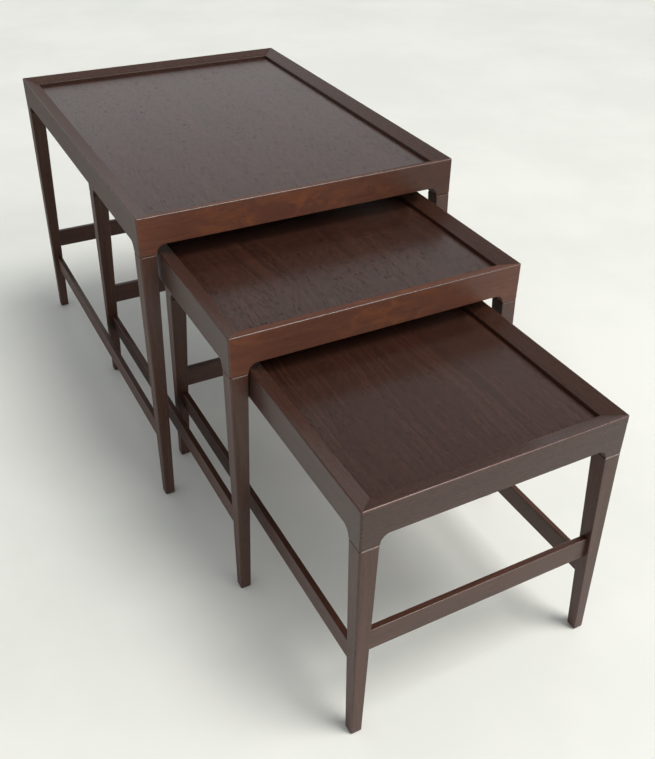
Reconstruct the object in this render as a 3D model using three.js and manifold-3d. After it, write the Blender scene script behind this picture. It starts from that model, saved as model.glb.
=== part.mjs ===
// A nest of three mahogany tables, standing drawn out of one another in a cascade.
// Units are millimetres, +Z is up, -Y is the side that the smaller tables are pulled towards.
// The origin is on the floor, at the centre of the ground that the whole nest covers.
//
// Each table is a tray-like top frame of four mitred rails around a recessed veneered panel,
// four tapering legs doweled up into the frame's corners, corner blocks inside the frame,
// and thin stretchers tenoned into the legs. The two larger tables have an open front, so
// that the next table slides in; the smallest has a stretcher there too.

import * as THREE from 'three';
import { mergeVertices } from 'three/addons/utils/BufferGeometryUtils.js';
import Module from 'manifold-3d';

const wasm = await Module();
wasm.setup();

// ---------------------------------------------------------------- driving dimensions

const FIT = 0.3; // glue line or clearance between two wooden faces that meet

const LARGE_WIDTH = 533; // along X, over the top frame
const LARGE_DEPTH = 711; // along Y, over the top frame
const LARGE_HEIGHT = 508; // floor to the top arris

const RAIL_HEIGHT = 45.5; // top arris to the underside of a rail between its brackets
const BRACKET_RADIUS = 14; // quarter round where a rail turns down to a leg
const ARRIS_RADIUS = 1.6; // softened outer top edge of a rail
const CORNER_RADIUS = 3; // upright outer edge of the frame and of each leg, seen from above
const ARRIS_FLAT = 0.4; // level strip between the arris and the bevel
const BEVEL_RUN = 23; // width of the inward slope, seen from above
const BEVEL_DROP = 8.5; // how far the slope falls
const LIP_HEIGHT = 5; // upright step from the foot of the slope to the panel
const GROOVE_DEPTH = 6; // how far the panel reaches under the lip

const PANEL_THICKNESS = 9;
const TONGUE_DROP = 1.2; // the panel's edge under the lip is this much thinner, from above
const SHADOW_GAP = 0.8; // dark line between the lip and the panel's face

const LEG_TOP_SIZE = 26; // square, where a leg meets the frame; a rail is as thick
const LEG_FOOT_SIZE = 16; // square, at the floor
const LEG_SPLAY = 0.015; // outward lean of the two outer faces, mm per mm of height
const LEG_TOP_CHAMFER = 2.5; // makes the V line under the frame
const LEG_FOOT_CHAMFER = 1.5;
const DOWEL_RADIUS = 5;
const DOWEL_LENGTH = 28; // above the leg's top
const DOWEL_SIDES = 16;

const STRETCHER_THICKNESS = 9;
const SIDE_STRETCHER_HEIGHT = 32; // the ones that run along Y
const END_STRETCHER_HEIGHT = 35; // the ones that run along X
const TENON_THICKNESS = 5;
const TENON_LENGTH = 7;
const TENON_SHOULDER = 5; // shoulder above and below a tenon

const BLOCK_REACH = 40; // corner block, along each rail
const BLOCK_NOSE = 6; // its short faces, square to the rails
const BLOCK_HEIGHT = 18;

// What differs from table to table. The two smaller ones take their size from the one that
// they stand inside, and from these clearances.
const LARGE_SIDE_STRETCHER_TOP = 123;
const LARGE_END_STRETCHER_TOP = 181;

const MEDIUM_SIDE_GAP = 11; // each side, between the legs of the large table
const MEDIUM_HEAD_GAP = 15.5; // under the rails of the large table
const MEDIUM_HOME_GAP = 1.3; // rear legs to the large table's back stretcher, pushed home
const MEDIUM_FRONT_SETBACK = 34; // behind the large table's front, pushed home
const MEDIUM_PULL = 255; // how far its front stands before the large table's
const MEDIUM_SHIFT = -6.5; // off the large table's centre line
const MEDIUM_SIDE_STRETCHER_TOP = 131;
const MEDIUM_END_STRETCHER_TOP = 191;

const SMALL_SIDE_GAP = 13;
const SMALL_HEAD_GAP = 11.5;
const SMALL_HOME_GAP = 1.5;
const SMALL_FRONT_SETBACK = 2; // behind the medium table's front, pushed home
const SMALL_PULL = 297; // how far its front stands before the medium table's
const SMALL_SHIFT = -11; // off the medium table's centre line
const SMALL_SIDE_STRETCHER_TOP = 141;
const SMALL_END_STRETCHER_TOP = 183;

// ---------------------------------------------------------------- derived sizes

const RAIL_THICKNESS = LEG_TOP_SIZE; // a leg lines up with both faces of a rail
const JOINT_DROP = RAIL_HEIGHT + BRACKET_RADIUS; // top arris down to the top of a leg
const LIP_FACE = ARRIS_FLAT + ARRIS_RADIUS + BEVEL_RUN; // outer face in to the lip
const PANEL_DROP = BEVEL_DROP + LIP_HEIGHT; // top arris down to the panel's face
const TONGUE_EDGE = LIP_FACE - GROOVE_DEPTH + FIT; // outer face in to the panel's tongue
const BORE_RADIUS = DOWEL_RADIUS + FIT;
const BORE_DEPTH = DOWEL_LENGTH + FIT;
const CLEAR_THROUGH = 4 * JOINT_DROP; // length of a cutter that passes right through a rail
const ARRIS_SEGMENTS = 3;
const CORNER_SEGMENTS = 4;
const BRACKET_SEGMENTS = 8;

// The top frame of one table, and the heights at which it is joined.
function tableSizes(name, width, depth, height, sideStretcherTop, endStretcherTop) {
  const legHeight = height - JOINT_DROP;
  return { name, width, depth, height, legHeight, sideStretcherTop, endStretcherTop };
}

// Width of a leg's square section at height z.
function legSize(table, z) {
  return LEG_FOOT_SIZE + ((LEG_TOP_SIZE - LEG_FOOT_SIZE) * z) / table.legHeight;
}

// How far a leg's outer face stands outside the top frame's outer face at height z.
function legLean(table, z) {
  return LEG_SPLAY * (table.legHeight - z);
}

// How far a leg's inner face stands inside the top frame's outer face at height z.
function legInnerFace(table, z) {
  return legSize(table, z) - legLean(table, z);
}

// End stretchers sit in the middle of the leg: their inner face, in from the outer face.
function endStretcherInnerFace(table) {
  const middle = table.endStretcherTop - END_STRETCHER_HEIGHT / 2;
  return (legInnerFace(table, middle) - legLean(table, middle) + STRETCHER_THICKNESS) / 2;
}

// The depth of a table that stops against the back stretcher of the one around it.
function nestedDepth(outer, homeGap, frontSetback, legHeight) {
  const stopHeight = outer.endStretcherTop - END_STRETCHER_HEIGHT;
  const lean = LEG_SPLAY * (legHeight - stopHeight);
  return outer.depth - endStretcherInnerFace(outer) - lean - homeGap - frontSetback;
}

function nestedTable(name, outer, gaps, sideStretcherTop, endStretcherTop) {
  const width = outer.width - 2 * LEG_TOP_SIZE - 2 * gaps.side;
  const height = outer.height - RAIL_HEIGHT - gaps.head;
  const depth = nestedDepth(outer, gaps.home, gaps.setback, height - JOINT_DROP);
  return tableSizes(name, width, depth, height, sideStretcherTop, endStretcherTop);
}

const large = tableSizes('large', LARGE_WIDTH, LARGE_DEPTH, LARGE_HEIGHT,
  LARGE_SIDE_STRETCHER_TOP, LARGE_END_STRETCHER_TOP);

const mediumGaps = {
  side: MEDIUM_SIDE_GAP,
  head: MEDIUM_HEAD_GAP,
  home: MEDIUM_HOME_GAP,
  setback: MEDIUM_FRONT_SETBACK,
};
const medium = nestedTable('medium', large, mediumGaps,
  MEDIUM_SIDE_STRETCHER_TOP, MEDIUM_END_STRETCHER_TOP);

const smallGaps = {
  side: SMALL_SIDE_GAP,
  head: SMALL_HEAD_GAP,
  home: SMALL_HOME_GAP,
  setback: SMALL_FRONT_SETBACK,
};
const small = nestedTable('small', medium, smallGaps,
  SMALL_SIDE_STRETCHER_TOP, SMALL_END_STRETCHER_TOP);

// ---------------------------------------------------------------- solids

const X = new THREE.Vector3(1, 0, 0);
const Y = new THREE.Vector3(0, 1, 0);
const Z = new THREE.Vector3(0, 0, 1);

// A closed three.js geometry as a solid that can be joined and cut.
function solid(geometry) {
  const bare = geometry.index ? geometry.toNonIndexed() : geometry.clone();
  bare.deleteAttribute('normal');
  bare.deleteAttribute('uv');
  const merged = mergeVertices(bare);
  return new wasm.Manifold(new wasm.Mesh({
    numProp: 3,
    vertProperties: new Float32Array(merged.attributes.position.array),
    triVerts: new Uint32Array(merged.index.array),
  }));
}

// A solid as a flat-shaded geometry.
function geometryOf(body) {
  const mesh = body.getMesh();
  const geometry = new THREE.BufferGeometry();
  geometry.setAttribute('position', new THREE.BufferAttribute(mesh.vertProperties, 3));
  geometry.setIndex(new THREE.BufferAttribute(mesh.triVerts, 1));
  const flat = geometry.toNonIndexed();
  flat.computeVertexNormals();
  return flat;
}

function blockBetween(low, high) {
  const size = [0, 1, 2].map((i) => high[i] - low[i]);
  const geometry = new THREE.BoxGeometry(...size);
  geometry.translate(...[0, 1, 2].map((i) => (low[i] + high[i]) / 2));
  return solid(geometry);
}

// A closed outline extruded by `length` along the third of three axes, centred there.
function prism(shape, length, right, up, along, curveSegments = BRACKET_SEGMENTS) {
  const options = { depth: length, bevelEnabled: false, curveSegments };
  const geometry = new THREE.ExtrudeGeometry(shape, options);
  geometry.translate(0, 0, -length / 2);
  geometry.applyMatrix4(new THREE.Matrix4().makeBasis(right, up, along));
  return solid(geometry);
}

function outline(points) {
  return new THREE.Shape(points.map(([a, b]) => new THREE.Vector2(a, b)));
}

function postAt(x, y, bottom, top, radius) {
  const geometry = new THREE.CylinderGeometry(radius, radius, top - bottom, DOWEL_SIDES);
  geometry.rotateX(Math.PI / 2);
  geometry.translate(x, y, (bottom + top) / 2);
  return solid(geometry);
}

// ---------------------------------------------------------------- finishes

const WOODS = {
  rail: { color: '#4b2c22', roughness: 0.34 },
  panel: { color: '#54372f', roughness: 0.3 },
  leg: { color: '#43291f', roughness: 0.36 },
  stretcher: { color: '#3c251d', roughness: 0.4 },
  block: { color: '#a9825a', roughness: 0.75 },
};

function named(name, body, wood) {
  const material = new THREE.MeshStandardMaterial({ ...WOODS[wood], metalness: 0 });
  const mesh = new THREE.Mesh(geometryOf(body), material);
  mesh.name = name;
  return mesh;
}

// ---------------------------------------------------------------- top frame

// Section of a rail: u runs inward from the outer face, z up from the floor side.
function railSection() {
  const floor = -JOINT_DROP;
  const grooveTop = FIT - PANEL_DROP - TONGUE_DROP;
  const grooveFloor = -PANEL_DROP - PANEL_THICKNESS - FIT;
  const shape = new THREE.Shape();
  shape.moveTo(0, floor);
  shape.lineTo(RAIL_THICKNESS, floor);
  shape.lineTo(RAIL_THICKNESS, grooveFloor);
  shape.lineTo(LIP_FACE - GROOVE_DEPTH, grooveFloor);
  shape.lineTo(LIP_FACE - GROOVE_DEPTH, grooveTop);
  shape.lineTo(LIP_FACE, grooveTop);
  shape.lineTo(LIP_FACE, -BEVEL_DROP);
  shape.lineTo(ARRIS_RADIUS + ARRIS_FLAT, 0);
  shape.lineTo(ARRIS_RADIUS, 0);
  shape.absarc(ARRIS_RADIUS, -ARRIS_RADIUS, ARRIS_RADIUS, Math.PI / 2, Math.PI, false);
  shape.lineTo(0, floor);
  return shape;
}

// Side view of a rail: level underside, with a quarter round down to each leg.
function railElevation(length) {
  const end = length / 2;
  const foot = end - LEG_TOP_SIZE;
  const arch = foot - BRACKET_RADIUS;
  const shape = new THREE.Shape();
  shape.moveTo(-end, -JOINT_DROP);
  shape.lineTo(-foot, -JOINT_DROP);
  shape.absarc(-arch, -JOINT_DROP, BRACKET_RADIUS, Math.PI, Math.PI / 2, true);
  shape.lineTo(arch, -RAIL_HEIGHT);
  shape.absarc(arch, -JOINT_DROP, BRACKET_RADIUS, Math.PI / 2, 0, true);
  shape.lineTo(end, -JOINT_DROP);
  shape.lineTo(end, 0);
  shape.lineTo(-end, 0);
  return shape;
}

// Plan of a rail: its ends are mitred, and keep half a glue line each.
function railPlan(length) {
  const end = length / 2 - (FIT / 2) * Math.SQRT2;
  const inner = end - RAIL_THICKNESS;
  return outline([[-end, 0], [end, 0], [inner, RAIL_THICKNESS], [-inner, RAIL_THICKNESS]]);
}

// Plan of the frame's outer corners at both ends of a rail.
function cornerPlan(length) {
  const end = length / 2;
  const centre = end - CORNER_RADIUS;
  const shape = new THREE.Shape();
  shape.moveTo(end, RAIL_THICKNESS);
  shape.lineTo(-end, RAIL_THICKNESS);
  shape.lineTo(-end, CORNER_RADIUS);
  shape.absarc(-centre, CORNER_RADIUS, CORNER_RADIUS, Math.PI, 1.5 * Math.PI, false);
  shape.lineTo(centre, 0);
  shape.absarc(centre, CORNER_RADIUS, CORNER_RADIUS, 1.5 * Math.PI, 2 * Math.PI, false);
  return shape;
}

// A rail along X with its outer face towards -Y, its top arris at z = 0.
function railBody(length) {
  const section = prism(railSection(), length, Y, Z, X, ARRIS_SEGMENTS);
  const elevation = prism(railElevation(length), CLEAR_THROUGH, X, Z, Y.clone().negate());
  const plan = prism(railPlan(length), CLEAR_THROUGH, X, Y, Z);
  const corners = prism(cornerPlan(length), CLEAR_THROUGH, X, Y, Z, 2 * CORNER_SEGMENTS);
  let body = section.intersect(elevation).intersect(plan).intersect(corners);
  for (const side of [-1, 1]) {
    const centre = side * (length / 2 - LEG_TOP_SIZE / 2);
    const bore = postAt(centre, LEG_TOP_SIZE / 2, -CLEAR_THROUGH,
      BORE_DEPTH - JOINT_DROP, BORE_RADIUS);
    body = body.subtract(bore);
  }
  return body;
}

function frameRails(table) {
  const places = [
    ['front', table.width, 0, 0, -table.depth / 2],
    ['right', table.depth, Math.PI / 2, table.width / 2, 0],
    ['back', table.width, Math.PI, 0, table.depth / 2],
    ['left', table.depth, -Math.PI / 2, -table.width / 2, 0],
  ];
  return places.map(([side, length, turn, x, y]) => {
    const rail = named(`${table.name}_${side}_rail`, railBody(length), 'rail');
    rail.rotation.z = turn;
    rail.position.set(x, y, table.height);
    return rail;
  });
}

// One layer of the panel, its edge the given distance in from the frame's outer face.
function panelLayer(table, edge, top) {
  const x = table.width / 2 - edge;
  const y = table.depth / 2 - edge;
  const underside = table.height - PANEL_DROP - PANEL_THICKNESS;
  return blockBetween([-x, -y, underside], [x, y, top]);
}

function topPanel(table) {
  const face = table.height - PANEL_DROP;
  const field = panelLayer(table, LIP_FACE + SHADOW_GAP, face);
  const tongue = panelLayer(table, TONGUE_EDGE, face - TONGUE_DROP);
  return named(`${table.name}_top_panel`, field.add(tongue), 'panel');
}

// A block glued into one inside corner of the frame, below the panel.
function cornerBlock(table, corner) {
  const start = RAIL_THICKNESS + FIT;
  const reach = start + BLOCK_REACH;
  const nose = start + BLOCK_NOSE;
  const plan = outline([[start, start], [reach, start], [reach, nose], [nose, reach],
    [start, reach]]);
  const body = prism(plan, BLOCK_HEIGHT, X, Y, Z);
  const block = named(`${table.name}_corner_block_${corner.name}`, body, 'block');
  const middle = table.height - PANEL_DROP - PANEL_THICKNESS - FIT - BLOCK_HEIGHT / 2;
  block.position.set(corner.x * (table.width / 2), corner.y * (table.depth / 2), middle);
  block.rotation.z = corner.turn;
  return block;
}

// ---------------------------------------------------------------- legs

const CORNERS = [
  { name: 'front_left', x: -1, y: -1, turn: 0 },
  { name: 'front_right', x: 1, y: -1, turn: Math.PI / 2 },
  { name: 'back_right', x: 1, y: 1, turn: Math.PI },
  { name: 'back_left', x: -1, y: 1, turn: -Math.PI / 2 },
];

// Rings of equally many points, counter-clockwise from above, joined into one closed body.
function stack(rings) {
  const count = rings[0].length;
  const index = [];
  for (let side = 1; side < count - 1; side += 1) {
    index.push(0, side + 1, side);
  }
  for (let level = 0; level < rings.length - 1; level += 1) {
    for (let side = 0; side < count; side += 1) {
      const a = count * level + side;
      const b = count * level + ((side + 1) % count);
      index.push(a, b, b + count, a, b + count, a + count);
    }
  }
  const top = count * (rings.length - 1);
  for (let side = 1; side < count - 1; side += 1) {
    index.push(top, top + side, top + side + 1);
  }
  const geometry = new THREE.BufferGeometry();
  geometry.setAttribute('position', new THREE.Float32BufferAttribute(rings.flat(2), 3));
  geometry.setIndex(index);
  return solid(geometry);
}

// Section of a leg at height z, drawn in by `inset` all round: square, with the corner that
// stands at the frame's outer corner rounded.
function legRing(table, corner, z, inset) {
  const outerX = table.width / 2 + legLean(table, z) - inset;
  const outerY = table.depth / 2 + legLean(table, z) - inset;
  const innerX = table.width / 2 - legInnerFace(table, z) + inset;
  const innerY = table.depth / 2 - legInnerFace(table, z) + inset;
  const radius = CORNER_RADIUS - inset;
  const ring = [[innerX, outerY], [innerX, innerY], [outerX, innerY]];
  for (let step = 0; step <= CORNER_SEGMENTS; step += 1) {
    const angle = (Math.PI / 2) * (step / CORNER_SEGMENTS);
    const x = outerX - radius + radius * Math.cos(angle);
    const y = outerY - radius + radius * Math.sin(angle);
    ring.push([x, y]);
  }
  const mirrored = ring.map(([x, y]) => [corner.x * x, corner.y * y, z]);
  return corner.x * corner.y > 0 ? mirrored : mirrored.reverse();
}

function leg(table, corner, mortises) {
  const top = table.legHeight - FIT;
  let body = stack([
    legRing(table, corner, 0, LEG_FOOT_CHAMFER),
    legRing(table, corner, LEG_FOOT_CHAMFER, 0),
    legRing(table, corner, top - LEG_TOP_CHAMFER, 0),
    legRing(table, corner, top, LEG_TOP_CHAMFER),
  ]);
  const dowelX = corner.x * (table.width / 2 - LEG_TOP_SIZE / 2);
  const dowelY = corner.y * (table.depth / 2 - LEG_TOP_SIZE / 2);
  const dowelFoot = top - LEG_TOP_CHAMFER;
  const dowelTip = table.legHeight + DOWEL_LENGTH - FIT;
  body = body.add(postAt(dowelX, dowelY, dowelFoot, dowelTip, DOWEL_RADIUS));
  for (const mortise of mortises) {
    body = body.subtract(mortise);
  }
  return named(`${table.name}_leg_${corner.name}`, body, 'leg');
}

// ---------------------------------------------------------------- stretchers

// The stub tenons at both ends of a stretcher along Y, as one bar that passes through it.
// `length` is from shoulder to shoulder, and `grow` swells the bar to cut the mortises.
function tenonPair(length, bottom, top, grow) {
  const half = TENON_THICKNESS / 2 + grow;
  const low = bottom + TENON_SHOULDER - grow;
  const high = top - TENON_SHOULDER + grow;
  const end = length / 2 + TENON_LENGTH + grow;
  return blockBetween([-half, -end, low], [half, end, high]);
}

// A stretcher along Y, centred on x = 0, whose shoulders follow the lean of the legs.
function stretcherBody(table, halfSpan, bottom, top) {
  const endAt = (z) => halfSpan - legInnerFace(table, z) - FIT;
  const elevation = outline([[-endAt(bottom), bottom], [endAt(bottom), bottom],
    [endAt(top), top], [-endAt(top), top]]);
  const board = prism(elevation, STRETCHER_THICKNESS, Y, Z, X);
  return board.add(tenonPair(2 * endAt(top), bottom, top, 0));
}

// Where each stretcher of a table stands, and the cutter for the mortises that it needs.
function stretcherPlan(table, side) {
  const alongY = side === 'left' || side === 'right';
  const sign = side === 'left' || side === 'front' ? -1 : 1;
  const height = alongY ? SIDE_STRETCHER_HEIGHT : END_STRETCHER_HEIGHT;
  const top = alongY ? table.sideStretcherTop : table.endStretcherTop;
  const bottom = top - height;
  const halfSpan = (alongY ? table.depth : table.width) / 2;
  const across = (alongY ? table.width : table.depth) / 2;
  const innerFace = alongY
    ? legInnerFace(table, bottom) - FIT
    : endStretcherInnerFace(table);
  const offset = sign * (across - innerFace + STRETCHER_THICKNESS / 2);
  const body = stretcherBody(table, halfSpan, bottom, top);
  const shoulder = 2 * (halfSpan - legInnerFace(table, top) - FIT);
  const cutter = tenonPair(shoulder, bottom, top, FIT);
  const place = alongY
    ? new THREE.Matrix4().makeTranslation(offset, 0, 0)
    : new THREE.Matrix4().makeRotationZ(-Math.PI / 2).setPosition(0, offset, 0);
  return { side, sign, alongY, body, place, cutter: cutter.transform(place.elements) };
}

function stretcher(table, plan) {
  const mesh = named(`${table.name}_${plan.side}_stretcher`, plan.body, 'stretcher');
  plan.place.decompose(mesh.position, mesh.quaternion, mesh.scale);
  return mesh;
}

// ---------------------------------------------------------------- tables

function buildTable(table, stretcherSides) {
  const group = new THREE.Group();
  const plans = stretcherSides.map((side) => stretcherPlan(table, side));
  group.add(...frameRails(table));
  group.add(topPanel(table));
  for (const corner of CORNERS) {
    const meeting = plans.filter((p) => (p.alongY ? corner.x : corner.y) === p.sign);
    group.add(leg(table, corner, meeting.map((p) => p.cutter)));
    group.add(cornerBlock(table, corner));
  }
  for (const plan of plans) {
    group.add(stretcher(table, plan));
  }
  return group;
}

const nest = new THREE.Group();

const largeTable = buildTable(large, ['left', 'right', 'back']);
const mediumTable = buildTable(medium, ['left', 'right', 'back']);
const smallTable = buildTable(small, ['left', 'right', 'back', 'front']);

// Fronts stand one before the other; the whole length is centred on the origin.
const smallFront = -(MEDIUM_PULL + SMALL_PULL);
const foremost = smallFront - legLean(small, LEG_FOOT_CHAMFER);
const rearmost = large.depth + legLean(large, LEG_FOOT_CHAMFER);
const centreY = (foremost + rearmost) / 2;

largeTable.position.set(0, large.depth / 2 - centreY, 0);
mediumTable.position.set(MEDIUM_SHIFT, medium.depth / 2 - MEDIUM_PULL - centreY, 0);
smallTable.position.set(MEDIUM_SHIFT + SMALL_SHIFT, small.depth / 2 + smallFront - centreY, 0);

nest.add(largeTable, mediumTable, smallTable);

export default nest;
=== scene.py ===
import math

import bmesh
import bpy
from mathutils import Euler, Matrix, Vector


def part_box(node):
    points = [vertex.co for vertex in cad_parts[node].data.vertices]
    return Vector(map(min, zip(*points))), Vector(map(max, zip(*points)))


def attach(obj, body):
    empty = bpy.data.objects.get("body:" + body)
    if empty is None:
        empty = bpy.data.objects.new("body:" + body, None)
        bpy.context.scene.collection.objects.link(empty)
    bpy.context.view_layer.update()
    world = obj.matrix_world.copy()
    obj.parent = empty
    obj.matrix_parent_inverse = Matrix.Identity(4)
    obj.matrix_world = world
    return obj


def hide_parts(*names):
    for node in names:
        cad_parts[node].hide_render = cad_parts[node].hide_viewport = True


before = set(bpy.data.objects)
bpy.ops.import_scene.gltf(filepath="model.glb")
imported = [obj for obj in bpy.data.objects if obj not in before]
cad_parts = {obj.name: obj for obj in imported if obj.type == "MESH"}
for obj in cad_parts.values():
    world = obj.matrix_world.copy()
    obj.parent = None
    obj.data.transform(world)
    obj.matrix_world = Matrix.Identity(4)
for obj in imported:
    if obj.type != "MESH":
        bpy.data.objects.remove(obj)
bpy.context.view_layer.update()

MM = 0.001
TABLES = ("large", "medium", "small")
SIDES = ("front", "right", "back", "left")
SIDE_TURN = {"front": 0, "right": 90, "back": 180, "left": 270}
CORNER_SIGNS = {
    "front_left": (-1, -1),
    "front_right": (1, -1),
    "back_right": (1, 1),
    "back_left": (-1, 1),
}
STRETCHER_SIDES = {
    "large": ("left", "right", "back"),
    "medium": ("left", "right", "back"),
    "small": ("left", "right", "back", "front"),
}

RAIL_THICKNESS = 26 * MM
JOINT_DROP = 59.5 * MM
BRACKET_RADIUS = 14 * MM
ARRIS_RADIUS = 1.6 * MM
ARRIS_FLAT = 0.4 * MM
CORNER_RADIUS = 3 * MM
BEVEL_RUN = 23 * MM
BEVEL_DROP = 8.5 * MM
LIP_FACE = ARRIS_RADIUS + ARRIS_FLAT + BEVEL_RUN
GROOVE_TOP = 14.4 * MM
GROOVE_BOTTOM = 22.8 * MM
GROOVE_FLOOR = 19 * MM
SHADOW_GAP = 0.8 * MM
TONGUE_DROP = 1.2 * MM
EASED = 0.6 * MM
BEVEL_EASED = 0.5 * MM
PANEL_EASED = 0.3 * MM
BRACKET_STEPS = 8
CORNER_STEPS = 4

LEG_TOP_SIZE = 26 * MM
LEG_FOOT_SIZE = 16 * MM
LEG_TOP_CHAMFER = 2.5 * MM
LEG_FOOT_CHAMFER = 1.5 * MM
LEG_EASED = 1.2 * MM
LEG_NECK = 1.2 * MM  # runs up into the frame above the chamfer
TENON_LENGTH = 7 * MM
STRETCHER_SUNK = 2 * MM
STRETCHER_EASED = 1 * MM

HAIR = 0.05 * MM  # slack where faces are picked by their height
MERGE = 0.01 * MM  # points closer than this are one point
SHARP_ANGLE = math.radians(38)
UPWARD = 0.2  # least upward part of a sloping face's normal

# Turns of a piece's own frame that bring its X, Y or Z along the grain.
GRAIN_ALONG_X = Matrix.Identity(4)
GRAIN_ALONG_Y = Matrix.Rotation(math.radians(-90), 4, "Z")
GRAIN_ALONG_Z = Matrix(((0, 0, 1, 0), (1, 0, 0, 0), (0, 1, 0, 0), (0, 0, 0, 1)))

# Boards whose figure has a known place keep their own middle as the grain's origin.
GRAIN_SHIFTS = {
    "large_top_panel": (3.1, 0.4, 0),
    "medium_top_panel": (0, 0, 0),
    "small_top_panel": (2.1, 1.7, 0),
    # For the figured front rails these shifts also set where the painted shade at one end falls.
    "large_front_rail": (0, 0, 0),
    "medium_front_rail": (-0.25, 0.3, 0),
}
# From the middle of the medium table's panel to its patch of arches, along and across
# the grain.
ARCH_SHIFT = (-0.100, 0.050, 0)
ARCH_SPREAD = (12, 22, 0)  # one over the patch's half length and half width, in metres
ARCH_BEND = 120  # how far an arch runs back, over the square of its half width
ARCH_LAYERS = 70  # layers in a metre along the grain
ARCH_WANDER = 2.2  # layers' unevenness, in layers
HEART_RED = "#7f4c30"
LACQUER_IOR = 1.5
BARE_WOOD_IOR = 1.5
PAINT_IOR = 1.45
GRAIN_DEPTH = 0.3 * MM
GRAIN_BEND = 0.04  # how far the grain lines can wander to the side
FLOOR_RADIUS = 9
FLOOR_DROP = 0.4 * MM


# ---------------------------------------------------------------- shapes


def rounded(corners, steps=3):
    """Outline from (u, z, radius) corners, each eased by an arc of that radius."""
    outline = []
    for index, (u, z, radius) in enumerate(corners):
        here = Vector((u, z))
        if radius == 0:
            outline.append(here)
            continue
        before = Vector(corners[index - 1][:2])
        after = Vector(corners[(index + 1) % len(corners)][:2])
        to_before = (before - here).normalized()
        to_after = (after - here).normalized()
        half = to_before.angle(to_after) / 2
        centre = here + (to_before + to_after).normalized() * radius / math.sin(half)
        start = here + to_before * radius / math.tan(half) - centre
        end = here + to_after * radius / math.tan(half) - centre
        sweep = start.angle_signed(end)
        for step in range(steps + 1):
            turn = Matrix.Rotation(-sweep * step / steps, 2)
            outline.append(centre + turn @ start)
    return outline


def loft(rings):
    """A closed body through rings of equally many points, with flat ends."""
    body = bmesh.new()
    rows = [[body.verts.new(point) for point in ring] for ring in rings]
    count = len(rows[0])
    for lower, upper in zip(rows, rows[1:]):
        for index in range(count):
            after = (index + 1) % count
            body.faces.new((lower[index], lower[after], upper[after], upper[index]))
    body.faces.new(rows[0][::-1])
    body.faces.new(rows[-1])
    bmesh.ops.remove_doubles(body, verts=body.verts, dist=MERGE)
    bmesh.ops.dissolve_degenerate(body, edges=body.edges, dist=MERGE)
    bmesh.ops.recalc_face_normals(body, faces=body.faces)
    return body


def place_in_wood(count):
    """Where in the wood a board is cut from: a place of its own, by its number."""
    return (1 + (count * 0.37) % 3, (count * 0.083) % 1, 0)


def make_piece(name, body, placing, grain_turn, table, stands_for, material):
    """Places a body made in its own frame, gives it its grain and hands it to its table."""
    mesh = bpy.data.meshes.new(name)
    body.to_mesh(mesh)
    body.free()
    shift = Vector(GRAIN_SHIFTS.get(stands_for, place_in_wood(len(bpy.data.meshes))))
    grain = mesh.attributes.new("grain", "FLOAT_VECTOR", "POINT")
    for vertex in mesh.vertices:
        grain.data[vertex.index].vector = grain_turn @ vertex.co + shift
    mesh.transform(placing)
    mesh.shade_smooth()
    mesh.set_sharp_from_angle(angle=SHARP_ANGLE)
    piece = bpy.data.objects.new(name, mesh)
    bpy.context.scene.collection.objects.link(piece)
    weighted = piece.modifiers.new("even shading", "WEIGHTED_NORMAL")
    weighted.keep_sharp = True
    mesh.materials.append(material)
    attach(piece, table)
    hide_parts(stands_for)
    return piece


def rub_edges(piece, lowest, highest, material):
    """Gives the upward-sloping faces between two heights the finish of handled edges."""
    mesh = piece.data
    mesh.materials.append(material)
    for face in mesh.polygons:
        if lowest < face.center.z < highest and face.normal.z > UPWARD:
            face.material_index = 1


# ---------------------------------------------------------------- sizes from the frame


def table_size(table):
    """Outer faces and height of one table's top frame."""
    low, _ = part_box(f"{table}_left_rail")
    _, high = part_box(f"{table}_right_rail")
    front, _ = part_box(f"{table}_front_rail")
    _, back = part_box(f"{table}_back_rail")
    size = Vector((high.x - low.x, back.y - front.y, high.z))
    centre = Vector(((high.x + low.x) / 2, (back.y + front.y) / 2, 0))
    return centre, size


# ---------------------------------------------------------------- pieces


def rail_section(underside):
    """Section of a rail: inward distance and height, down to the given underside."""
    flat_end = ARRIS_RADIUS + ARRIS_FLAT
    inner = RAIL_THICKNESS
    return rounded(
        [
            (0, -underside, EASED),
            (0, 0, ARRIS_RADIUS),
            (flat_end, 0, BEVEL_EASED),
            (LIP_FACE, -BEVEL_DROP, EASED),
            (LIP_FACE, -GROOVE_TOP, 0),
            (GROOVE_FLOOR, -GROOVE_TOP, 0),
            (GROOVE_FLOOR, -GROOVE_BOTTOM, 0),
            (inner, -GROOVE_BOTTOM, 0),
            (inner, -underside, EASED),
        ]
    )


def rail_end(length):
    """Rings from the rail's middle to its mitre, as lists of (along, inward, up)."""
    rings = []
    end = length / 2
    for step in range(BRACKET_STEPS + 1):
        angle = math.radians(90) * step / BRACKET_STEPS
        along = end - RAIL_THICKNESS - BRACKET_RADIUS * (1 - math.sin(angle))
        rise = BRACKET_RADIUS * math.cos(angle)
        ring = rail_section(JOINT_DROP - rise)
        rings.append([(along, point.x, point.y) for point in ring])
    section = rail_section(JOINT_DROP)
    for step in range(CORNER_STEPS + 1):
        angle = math.radians(45) * step / CORNER_STEPS
        ring = []
        for point in section:
            reach = CORNER_RADIUS - point.x
            if reach <= 0:
                ring.append((end - point.x, point.x, point.y))
                continue
            along = end - CORNER_RADIUS + reach * math.sin(angle)
            inward = CORNER_RADIUS - reach * math.cos(angle)
            ring.append((along, inward, point.y))
        rings.append(ring)
    return rings


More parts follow.
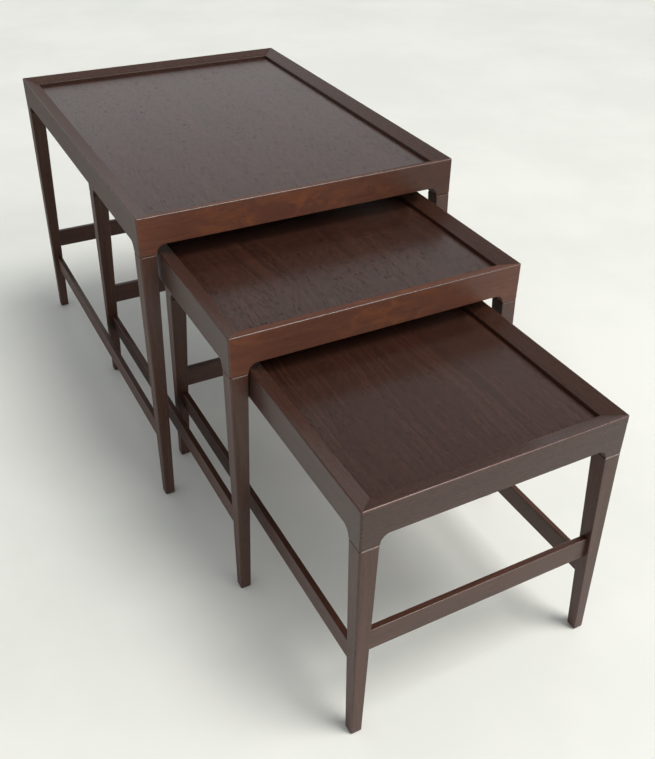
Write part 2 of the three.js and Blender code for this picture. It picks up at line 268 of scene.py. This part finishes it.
def make_rail(table, side, material, rubbed):
    """A mitred rail with its bevel, lip and groove, and a quarter round at each end."""
    centre, size = table_size(table)
    across = side in ("front", "back")
    length = size.x if across else size.y
    reach = size.y if across else size.x
    right = rail_end(length)
    left = [[(-x, y, z) for x, y, z in ring] for ring in right[::-1]]
    turn = Matrix.Rotation(math.radians(SIDE_TURN[side]), 4, "Z")
    middle = Matrix.Translation(centre + Vector((0, 0, size.z)))
    placing = middle @ turn @ Matrix.Translation((0, -reach / 2, 0))
    body = loft(left + right)
    node = f"{table}_{side}_rail"
    name = f"{node}_shaped"
    rail = make_piece(name, body, placing, GRAIN_ALONG_X, table, node, material)
    if side == "front":
        rub_edges(rail, size.z - ARRIS_RADIUS - HAIR, size.z + HAIR, rubbed)


def panel_ring(half_x, half_y, z):
    signs = ((-1, -1), (1, -1), (1, 1), (-1, 1))
    return [(sign_x * half_x, sign_y * half_y, z) for sign_x, sign_y in signs]


def make_panel(table, material):
    """The veneered board with its rebated edge, grain running front to back."""
    node = f"{table}_top_panel"
    low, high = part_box(node)
    centre, size = table_size(table)
    half_x = (high.x - low.x) / 2
    half_y = (high.y - low.y) / 2
    tongue = LIP_FACE + SHADOW_GAP - (size.x / 2 - half_x)
    levels = (
        (0, low.z - high.z),
        (0, -TONGUE_DROP),
        (tongue, -TONGUE_DROP),
        (tongue, -PANEL_EASED),
        (tongue + PANEL_EASED, 0),
    )
    rings = [panel_ring(half_x - inset, half_y - inset, z) for inset, z in levels]
    placing = Matrix.Translation(centre + Vector((0, 0, high.z)))
    body = loft(rings)
    name = f"{node}_veneered"
    make_piece(name, body, placing, GRAIN_ALONG_Y, table, node, material)


def leg_ring(outer, inner, z, inset):
    """Square ring, well rounded at its outer corner, towards +X +Y, and eased elsewhere."""
    low = inner + inset
    high = outer - inset
    corners = [
        (low, low, LEG_EASED),
        (high, low, LEG_EASED),
        (high, high, CORNER_RADIUS - inset),
        (low, high, LEG_EASED),
    ]
    return [(point.x, point.y, z) for point in rounded(corners, CORNER_STEPS)]


def make_leg(table, corner, material, rubbed):
    """A tapering, slightly splayed leg with a chamfer where it meets the frame."""
    node = f"{table}_leg_{corner}"
    sign_x, sign_y = CORNER_SIGNS[corner]
    centre, size = table_size(table)
    low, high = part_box(node)
    top = size.z - JOINT_DROP
    foot_outer = (high.x if sign_x > 0 else -low.x) - sign_x * centre.x - size.x / 2
    rings = []
    # Height and inset of each ring, from the foot's chamfer to the neck inside the frame.
    levels = (
        (0, LEG_FOOT_CHAMFER),
        (LEG_FOOT_CHAMFER * 0.5, LEG_FOOT_CHAMFER * 0.25),
        (LEG_FOOT_CHAMFER * 1.3, 0),
        (top - LEG_TOP_CHAMFER * 0.8, 0),
        (top, LEG_TOP_CHAMFER),
        (top + LEG_NECK, LEG_TOP_CHAMFER),
    )
    for z, inset in levels:
        share = min(z / top, 1)
        outer = foot_outer * (1 - share)
        thick = LEG_FOOT_SIZE + (LEG_TOP_SIZE - LEG_FOOT_SIZE) * share
        rings.append(leg_ring(outer, outer - thick, z, inset))
    body = loft(rings)
    mirror = Matrix.Diagonal((sign_x, sign_y, 1, 1))
    at = Vector((centre.x + sign_x * size.x / 2, centre.y + sign_y * size.y / 2, 0))
    placing = Matrix.Translation(at) @ mirror
    if sign_x * sign_y < 0:
        bmesh.ops.reverse_faces(body, faces=body.faces)
    name = f"{node}_tapered"
    leg = make_piece(name, body, placing, GRAIN_ALONG_Z, table, node, material)
    if table == "small":
        rub_edges(leg, top - LEG_TOP_CHAMFER, top - HAIR, rubbed)


def make_stretcher(table, side, material, rubbed):
    """A thin upright bar with eased edges, let into the legs at both ends."""
    node = f"{table}_{side}_stretcher"
    low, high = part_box(node)
    span = high - low
    middle = (high + low) / 2
    across = side in ("front", "back")
    length = span.x if across else span.y
    thick = span.y if across else span.x
    half = length / 2 - TENON_LENGTH + STRETCHER_SUNK
    section = rounded(
        [
            (-thick / 2, -span.z / 2, STRETCHER_EASED),
            (thick / 2, -span.z / 2, STRETCHER_EASED),
            (thick / 2, span.z / 2, STRETCHER_EASED),
            (-thick / 2, span.z / 2, STRETCHER_EASED),
        ]
    )
    rings = [[(along, point.x, point.y) for point in section] for along in (-half, half)]
    turn = Matrix.Rotation(math.radians(SIDE_TURN[side]), 4, "Z")
    placing = Matrix.Translation(middle) @ turn
    body = loft(rings)
    name = f"{node}_eased"
    stretcher = make_piece(name, body, placing, GRAIN_ALONG_X, table, node, material)
    if side == "front":
        rub_edges(stretcher, high.z - STRETCHER_EASED, high.z - HAIR, rubbed)


# ---------------------------------------------------------------- materials


def linear(hex_colour):
    """sRGB hex to the linear colour that the shader wants."""
    channels = []
    for start in (1, 3, 5):
        value = int(hex_colour[start : start + 2], 16) / 255
        channels.append(value / 12.92 if value <= 0.04045 else ((value + 0.055) / 1.055) ** 2.4)
    return (*channels, 1)


def add(tree, kind, links=(), **settings):
    """Adds a node, sets its properties or sockets, and links (socket, source) pairs.

    A setting named for a property sets that; any other is the name of a socket."""
    node = tree.nodes.new(f"ShaderNode{kind}")
    for name, value in settings.items():
        if hasattr(node, name):
            setattr(node, name, value)
        else:
            node.inputs[name].default_value = value
    for socket, source in links:
        tree.links.new(source, node.inputs[socket])
    return node


def new_material(name):
    material = bpy.data.materials.new(name)
    material.use_nodes = True
    tree = material.node_tree
    tree.nodes.clear()
    shader = add(tree, "BsdfPrincipled")
    add(tree, "OutputMaterial", [("Surface", shader.outputs["BSDF"])])
    return material, tree, shader


def ramp(tree, source, stops):
    """Colour ramp from (position, hex colour) stops."""
    node = add(tree, "ValToRGB", [("Fac", source)])
    elements = node.color_ramp.elements
    while len(elements) < len(stops):
        elements.new(0.5)
    for element, (position, colour) in zip(elements, stops):
        element.position = position
        element.color = linear(colour)
    return node.outputs["Color"]


def noise(tree, grain, along, across, detail, rough, warp=0.0):
    """Noise with features of the given length along the grain and width across it, in metres."""
    scale = (1 / along, 1 / across, 1 / across)
    scaled = add(tree, "Mapping", [("Vector", grain)], Scale=scale)
    texture = add(
        tree,
        "TexNoise",
        [("Vector", scaled.outputs["Vector"])],
        Scale=1.0,
        Detail=detail,
        Roughness=rough,
        Distortion=warp,
    )
    return texture.outputs["Fac"]


def curve(tree, source, low, high, to_low=0.0, to_high=1.0):
    """Smooth step of a value between two limits."""
    node = add(tree, "MapRange", [("Value", source)], interpolation_type="SMOOTHSTEP")
    node.inputs["From Min"].default_value = low
    node.inputs["From Max"].default_value = high
    node.inputs["To Min"].default_value = to_low
    node.inputs["To Max"].default_value = to_high
    return node.outputs["Result"]


def mixed(tree, factor, first, second, blend="MIX"):
    """Blend of two colours, each a socket or a hex colour, by a socket or a number."""
    node = tree.nodes.new("ShaderNodeMix")
    node.data_type = "RGBA"
    node.blend_type = blend
    # For colours, a Mix node's sockets are 0, 6 and 7, and its output is 2.
    for index, value in ((0, factor), (6, first), (7, second)):
        if isinstance(value, bpy.types.NodeSocket):
            tree.links.new(value, node.inputs[index])
        elif isinstance(value, str):
            node.inputs[index].default_value = linear(value)
        else:
            node.inputs[index].default_value = value
    return node.outputs[2]


def product(tree, first, second):
    """Product of two values, each a socket or a number."""
    node = add(tree, "Math", operation="MULTIPLY")
    for index, value in enumerate((first, second)):
        if isinstance(value, bpy.types.NodeSocket):
            tree.links.new(value, node.inputs[index])
        else:
            node.inputs[index].default_value = value
    return node.outputs[0]


def bent_grain(tree, grain):
    """Grain coordinates whose lines wander by up to a finger's width over 250 mm."""
    wander = noise(tree, grain, along=0.25, across=0.16, detail=1.0, rough=0.4)
    aside = add(tree, "CombineXYZ", [("Y", product(tree, wander, GRAIN_BEND))])
    bent = add(tree, "VectorMath", [(0, grain), (1, aside.outputs[0])], operation="ADD")
    return bent.outputs[0]


def swirl_figure(tree, grain):
    """Mottled figure: soft swirls 10 to 40 mm across, gathered in patches a hand wide."""
    swirls = noise(tree, grain, along=0.045, across=0.020, detail=2.0, rough=0.5, warp=1.3)
    patches = noise(tree, grain, along=0.13, across=0.09, detail=1.0, rough=0.4)
    return product(tree, curve(tree, swirls, 0.36, 0.74), curve(tree, patches, 0.36, 0.62))


def cathedral_figure(tree, grain):
    """Pointed arches of the annual layers, 14 mm apart, in a patch a hand wide."""
    place = add(tree, "VectorMath", [(0, grain)], operation="ADD")
    place.inputs[1].default_value = ARCH_SHIFT
    split = add(tree, "SeparateXYZ", [("Vector", place.outputs[0])])
    along, across = split.outputs["X"], split.outputs["Y"]
    wander = noise(tree, grain, along=0.020, across=0.008, detail=3.0, rough=0.6)
    # Each arch runs back along the grain with the square of the distance from its tip.
    drawn_back = product(tree, product(tree, across, across), ARCH_BEND)
    tip = add(tree, "Math", [(0, along), (1, drawn_back)], operation="ADD").outputs[0]
    counted = product(tree, tip, ARCH_LAYERS)
    uneven = product(tree, wander, ARCH_WANDER)
    steps = add(tree, "Math", [(0, counted), (1, uneven)], operation="ADD").outputs[0]
    layer = add(tree, "Math", [(0, steps)], operation="FRACT").outputs[0]
    late = product(tree, curve(tree, layer, 0.45, 0.92), curve(tree, layer, 0.94, 1.0, 1.0, 0.0))
    patch = add(tree, "VectorMath", [(0, place.outputs[0])], operation="MULTIPLY")
    patch.inputs[1].default_value = ARCH_SPREAD
    reach = add(tree, "VectorMath", [(0, patch.outputs[0])], operation="LENGTH").outputs["Value"]
    return product(tree, late, curve(tree, reach, 0.4, 1.2, 1.0, 0.0))


def wood_tones(tree, grain, bent, dark, light, streak, flecks, drawn, swirl):
    """Annual layers, clouds where the stain took unevenly, and ribbons of lighter fibres."""
    layers = noise(tree, bent, along=0.30, across=0.006, detail=2.0, rough=0.5)
    clouds = noise(tree, grain, along=0.14, across=0.07, detail=2.0, rough=0.5)
    # Ribbons are about 2 mm wide and an inch long.
    ribbons = noise(tree, bent, along=0.024, across=2 * drawn * MM, detail=1.0, rough=0.5)
    # Where the figure swirls the layers show less.
    shown = curve(tree, layers, 0.30, 0.70, 0.4 * swirl, 1 - 0.6 * swirl)
    base = mixed(tree, shown, dark, light)
    base = mixed(tree, curve(tree, clouds, 0.38, 0.68, 0.0, 0.7), base, streak)
    return mixed(tree, curve(tree, ribbons, 0.55, 0.75, 0.0, 0.4 * flecks), base, light)


def red_heart_and_end_shade(tree, grain, base, pore, swirl):
    """Swirls of red heartwood, and painted shade that darkens the board towards one end."""
    base = mixed(tree, product(tree, swirl_figure(tree, grain), swirl), base, HEART_RED)
    along = add(tree, "SeparateXYZ", [("Vector", grain)]).outputs["X"]
    # Painted shade: past 50 mm along the grain the colour darkens towards the pore colour, 0.7
    # of the way by 220 mm.
    return mixed(tree, curve(tree, along, 0.05, 0.22, 0.0, 0.7), base, pore)


def pore_flecks(tree, bent, drawn):
    """Open pores as short dark flecks, gathered in bands a finger wide."""
    # Pores are 0.2 mm wide and about 12 mm long; drawn 0.8 to 1.3 mm wide so that they show.
    pores = noise(tree, bent, along=0.012 * drawn, across=drawn * MM, detail=0.0, rough=0.4)
    bands = noise(tree, bent, along=0.20, across=0.016, detail=2.0, rough=0.5)
    gathered = curve(tree, bands, 0.38, 0.60, 0.35, 1.0)
    return product(tree, curve(tree, pores, 0.58, 0.74), gathered)


def broken_sheen(tree, fibres, fleck, flecks, gloss):
    """The fibres lie at slightly different heights and break up the sheen along the grain.

    The open pores hold next to no sheen."""
    broken = curve(tree, fibres, 0.25, 0.75, 0.5 - 0.22 * flecks, 0.5 + 0.12 * flecks)
    open_pores = curve(tree, fleck, 0.0, 1.0, 1.0, 1 - 0.9 * flecks)
    return product(tree, product(tree, broken, open_pores), gloss)


def stained_mahogany(
    name,
    dark,
    light,
    streak,
    pore,
    roughness,
    flecks=0.5,
    drawn=0.8,
    gloss=1.0,
    swirl=0.0,
    arch=0.0,
    coat=0.0,
    dulled=0.0,
):
    """Mahogany under a dark stain and satin lacquer.

    Close straight grain of low contrast; the open pores show as short dark flecks."""
    material, tree, shader = new_material(name)
    grain = add(tree, "Attribute", attribute_name="grain").outputs["Vector"]
    bent = bent_grain(tree, grain)
    # Fibres are a few tenths of a millimetre wide; drawn 0.8 to 1.3 mm wide so that they show.
    fibres = noise(tree, bent, along=0.018 * drawn, across=drawn * MM, detail=2.0, rough=0.5)
    fleck = pore_flecks(tree, bent, drawn)
    sheen = broken_sheen(tree, fibres, fleck, flecks, gloss)
    shine = curve(tree, fibres, 0.2, 0.8, roughness - 0.03, roughness + 0.05)
    base = wood_tones(tree, grain, bent, dark, light, streak, flecks, drawn, swirl)
    if swirl > 0:
        base = red_heart_and_end_shade(tree, grain, base, pore, swirl)
    if arch > 0:
        arches = cathedral_figure(tree, grain)
        base = mixed(tree, product(tree, arches, arch), base, pore)
        sheen = product(tree, sheen, curve(tree, arches, 0.0, 1.0, 1.0, 1 - 0.5 * arch))
    if dulled > 0:
        # Rubbed-out lacquer is duller along the surface than straight on.
        facing = add(tree, "LayerWeight", Blend=0.5).outputs["Facing"]
        duller = curve(tree, facing, 0.60, 0.86, 0.0, dulled)
        shine = add(tree, "Math", [(0, shine), (1, duller)], operation="ADD").outputs[0]
        sheen = product(tree, sheen, curve(tree, facing, 0.60, 0.84, 1.0, 0.7))
    fibre_tone = mixed(tree, curve(tree, fibres, 0.3, 0.7), "#d8d8d8", "#ffffff")
    base = mixed(tree, 0.25 + 0.65 * flecks, base, fibre_tone, "MULTIPLY")
    base = mixed(tree, product(tree, fleck, flecks), base, pore)
    tree.links.new(base, shader.inputs["Base Color"])
    tree.links.new(sheen, shader.inputs["Specular IOR Level"])
    tree.links.new(shine, shader.inputs["Roughness"])
    shader.inputs["IOR"].default_value = LACQUER_IOR
    shader.inputs["Coat Weight"].default_value = coat
    shader.inputs["Coat Roughness"].default_value = 0.12
    shader.inputs["Coat IOR"].default_value = LACQUER_IOR
    height = mixed(tree, fleck, fibre_tone, "#505050")
    bump = add(tree, "Bump", [("Height", height)], Strength=0.35, Distance=GRAIN_DEPTH)
    tree.links.new(bump.outputs["Normal"], shader.inputs["Normal"])
    return material


def sawn_beech():
    """Beech, planed and left bare: pale pinkish brown with short darker ray flecks."""
    material, tree, shader = new_material("sawn beech")
    place = add(tree, "TexCoord").outputs["Object"]
    layers = noise(tree, place, along=0.12, across=0.006, detail=2.0, rough=0.5)
    # Ray flecks are 1 to 3 mm long and about 0.3 mm wide; drawn 0.5 mm wide.
    rays = noise(tree, place, along=0.0025, across=0.0005, detail=1.0, rough=0.4)
    base = mixed(tree, curve(tree, layers, 0.3, 0.7), "#b58f68", "#c9a57f")
    base = mixed(tree, curve(tree, rays, 0.6, 0.72, 0.0, 0.5), base, "#8f6947")
    tree.links.new(base, shader.inputs["Base Color"])
    shader.inputs["Roughness"].default_value = 0.65
    shader.inputs["IOR"].default_value = BARE_WOOD_IOR
    bump = add(tree, "Bump", [("Height", layers)], Strength=0.2, Distance=GRAIN_DEPTH)
    tree.links.new(bump.outputs["Normal"], shader.inputs["Normal"])
    return material


def painted_floor():
    """Concrete floor with pale matt paint, faintly clouded."""
    material, tree, shader = new_material("painted concrete")
    place = add(tree, "TexCoord").outputs["Object"]
    clouds = noise(tree, place, along=0.5, across=0.5, detail=4.0, rough=0.6)
    base = mixed(tree, curve(tree, clouds, 0.3, 0.7), "#e0e3df", "#e8eae6")
    tree.links.new(base, shader.inputs["Base Color"])
    shader.inputs["Roughness"].default_value = 0.55
    shader.inputs["IOR"].default_value = PAINT_IOR
    return material


# ---------------------------------------------------------------- stage


def make_floor(material):
    """A broad disc just below the feet."""
    body = bmesh.new()
    bmesh.ops.create_circle(body, cap_ends=True, segments=96, radius=FLOOR_RADIUS)
    mesh = bpy.data.meshes.new("floor")
    body.to_mesh(mesh)
    body.free()
    mesh.materials.append(material)
    floor = bpy.data.objects.new("floor", mesh)
    bpy.context.scene.collection.objects.link(floor)
    floor.location.z = -FLOOR_DROP


def soft_light(name, at, towards, size, power, colour):
    """A rectangular area light of the given size, aimed at a point."""
    light = bpy.data.lights.new(name, "AREA")
    light.shape = "RECTANGLE"
    light.size = size[0]
    light.size_y = size[1]
    light.energy = power
    light.color = linear(colour)[:3]
    holder = bpy.data.objects.new(name, light)
    bpy.context.scene.collection.objects.link(holder)
    holder.location = at
    direction = Vector(towards) - Vector(at)
    holder.rotation_euler = direction.to_track_quat("-Z", "Y").to_euler()


def pale_room():
    """World light: white walls near the horizon, a dimmer ceiling above them."""
    world = bpy.data.worlds.new("pale room")
    world.use_nodes = True
    tree = world.node_tree
    sky = tree.nodes["Background"]
    towards = add(tree, "TexCoord").outputs["Generated"]
    height = add(tree, "SeparateXYZ", [("Vector", towards)]).outputs["Z"]
    tones = ramp(
        tree,
        height,
        [
            (0.0, "#dcddde"),
            (0.36, "#dfe0e1"),
            (0.54, "#c4c5c5"),
            (0.70, "#9a9b9b"),
            (1.0, "#b4b4b2"),
        ],
    )
    tree.links.new(tones, sky.inputs["Color"])
    sky.inputs["Strength"].default_value = 1.0
    bpy.context.scene.world = world


def ceiling_lamps():
    """One broad source high in front and to the right, as a row of lamps gives."""
    lamps = bpy.data.lights.new("ceiling lamps", "SUN")
    lamps.energy = 1.8
    lamps.angle = math.radians(26)
    lamps.color = linear("#fffcf6")[:3]
    holder = bpy.data.objects.new("ceiling lamps", lamps)
    bpy.context.scene.collection.objects.link(holder)
    direction = Vector((-0.27, 0.27, -0.92))
    holder.rotation_euler = direction.to_track_quat("-Z", "Y").to_euler()


def light_studio():
    bpy.context.scene.view_settings.view_transform = "Standard"
    pale_room()
    ceiling_lamps()
    soft_light(
        "front softbox",
        at=(1.8, -2.4, 2.7),
        towards=(0, -0.4, 0.4),
        size=(1.9, 1.5),
        power=44,
        colour="#fffaf2",
    )


def place_camera():
    """About a metre up, in front of the tables and to their left."""
    lens = bpy.data.cameras.new("camera")
    lens.sensor_width = 36
    lens.sensor_fit = "AUTO"
    lens.lens = 43.02
    lens.shift_x = -0.0285
    lens.shift_y = 0.0052
    lens.clip_start = 0.05
    lens.clip_end = 60
    camera = bpy.data.objects.new("camera", lens)
    camera.location = (-0.57075, -1.24067, 1.06309)
    tilt, roll, heading = (math.radians(angle) for angle in (54.579, -1.296, -28.527))
    camera.rotation_euler = Euler((tilt, roll, heading), "XYZ")
    bpy.context.scene.collection.objects.link(camera)
    bpy.context.scene.camera = camera


# ---------------------------------------------------------------- the tables

FIGURED = stained_mahogany(
    "figured mahogany, satin lacquer",
    dark="#502f25",
    light="#6e4635",
    streak="#5d382c",
    pore="#331b13",
    roughness=0.32,
    flecks=0.2,
    gloss=0.65,
    swirl=0.7,
    dulled=0.26,
)
STRAIGHT = stained_mahogany(
    "straight mahogany, satin lacquer",
    dark="#372017",
    light="#41271e",
    streak="#3c241b",
    pore="#22130e",
    roughness=0.28,
    flecks=0.25,
    dulled=0.32,
)
VENEER = stained_mahogany(
    "mahogany veneer, satin lacquer",
    dark="#311d17",
    light="#42281f",
    streak="#38221b",
    pore="#180d0a",
    roughness=0.21,
    flecks=0.7,
)
WIDE_VENEER = stained_mahogany(
    "wide mahogany veneer, satin lacquer",
    dark="#311d17",
    light="#42281f",
    streak="#38221b",
    pore="#1c100c",
    roughness=0.21,
    flecks=0.75,
    drawn=1.3,
)
ARCHED_VENEER = stained_mahogany(
    "arched mahogany veneer, satin lacquer",
    dark="#311d17",
    light="#42281f",
    streak="#38221b",
    pore="#180d0a",
    roughness=0.21,
    flecks=0.85,
    drawn=1.1,
    arch=0.9,
)
LEG_WOOD = stained_mahogany(
    "leg mahogany, satin lacquer",
    dark="#3d241b",
    light="#4f3025",
    streak="#462b20",
    pore="#26150f",
    roughness=0.32,
    flecks=0.3,
    dulled=0.28,
)
RUBBED = stained_mahogany(
    "mahogany edge rubbed smooth by handling",
    dark="#442318",
    light="#563024",
    streak="#4c291e",
    pore="#2e1710",
    roughness=0.26,
    flecks=0.2,
    coat=0.5,
)
BEECH = sawn_beech()
VENEERS = {"large": WIDE_VENEER, "medium": ARCHED_VENEER, "small": VENEER}

place_camera()
light_studio()
make_floor(painted_floor())

for table_name in TABLES:
    for rail_side in SIDES:
        figured = rail_side == "front" and table_name != "small"
        make_rail(table_name, rail_side, FIGURED if figured else STRAIGHT, RUBBED)
    make_panel(table_name, VENEERS[table_name])
    for corner_name in CORNER_SIGNS:
        make_leg(table_name, corner_name, LEG_WOOD, RUBBED)
    for stretcher_side in STRETCHER_SIDES[table_name]:
        make_stretcher(table_name, stretcher_side, LEG_WOOD, RUBBED)

for node_name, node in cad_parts.items():
    if "corner_block" in node_name:
        node.data.materials.clear()
        node.data.materials.append(BEECH)
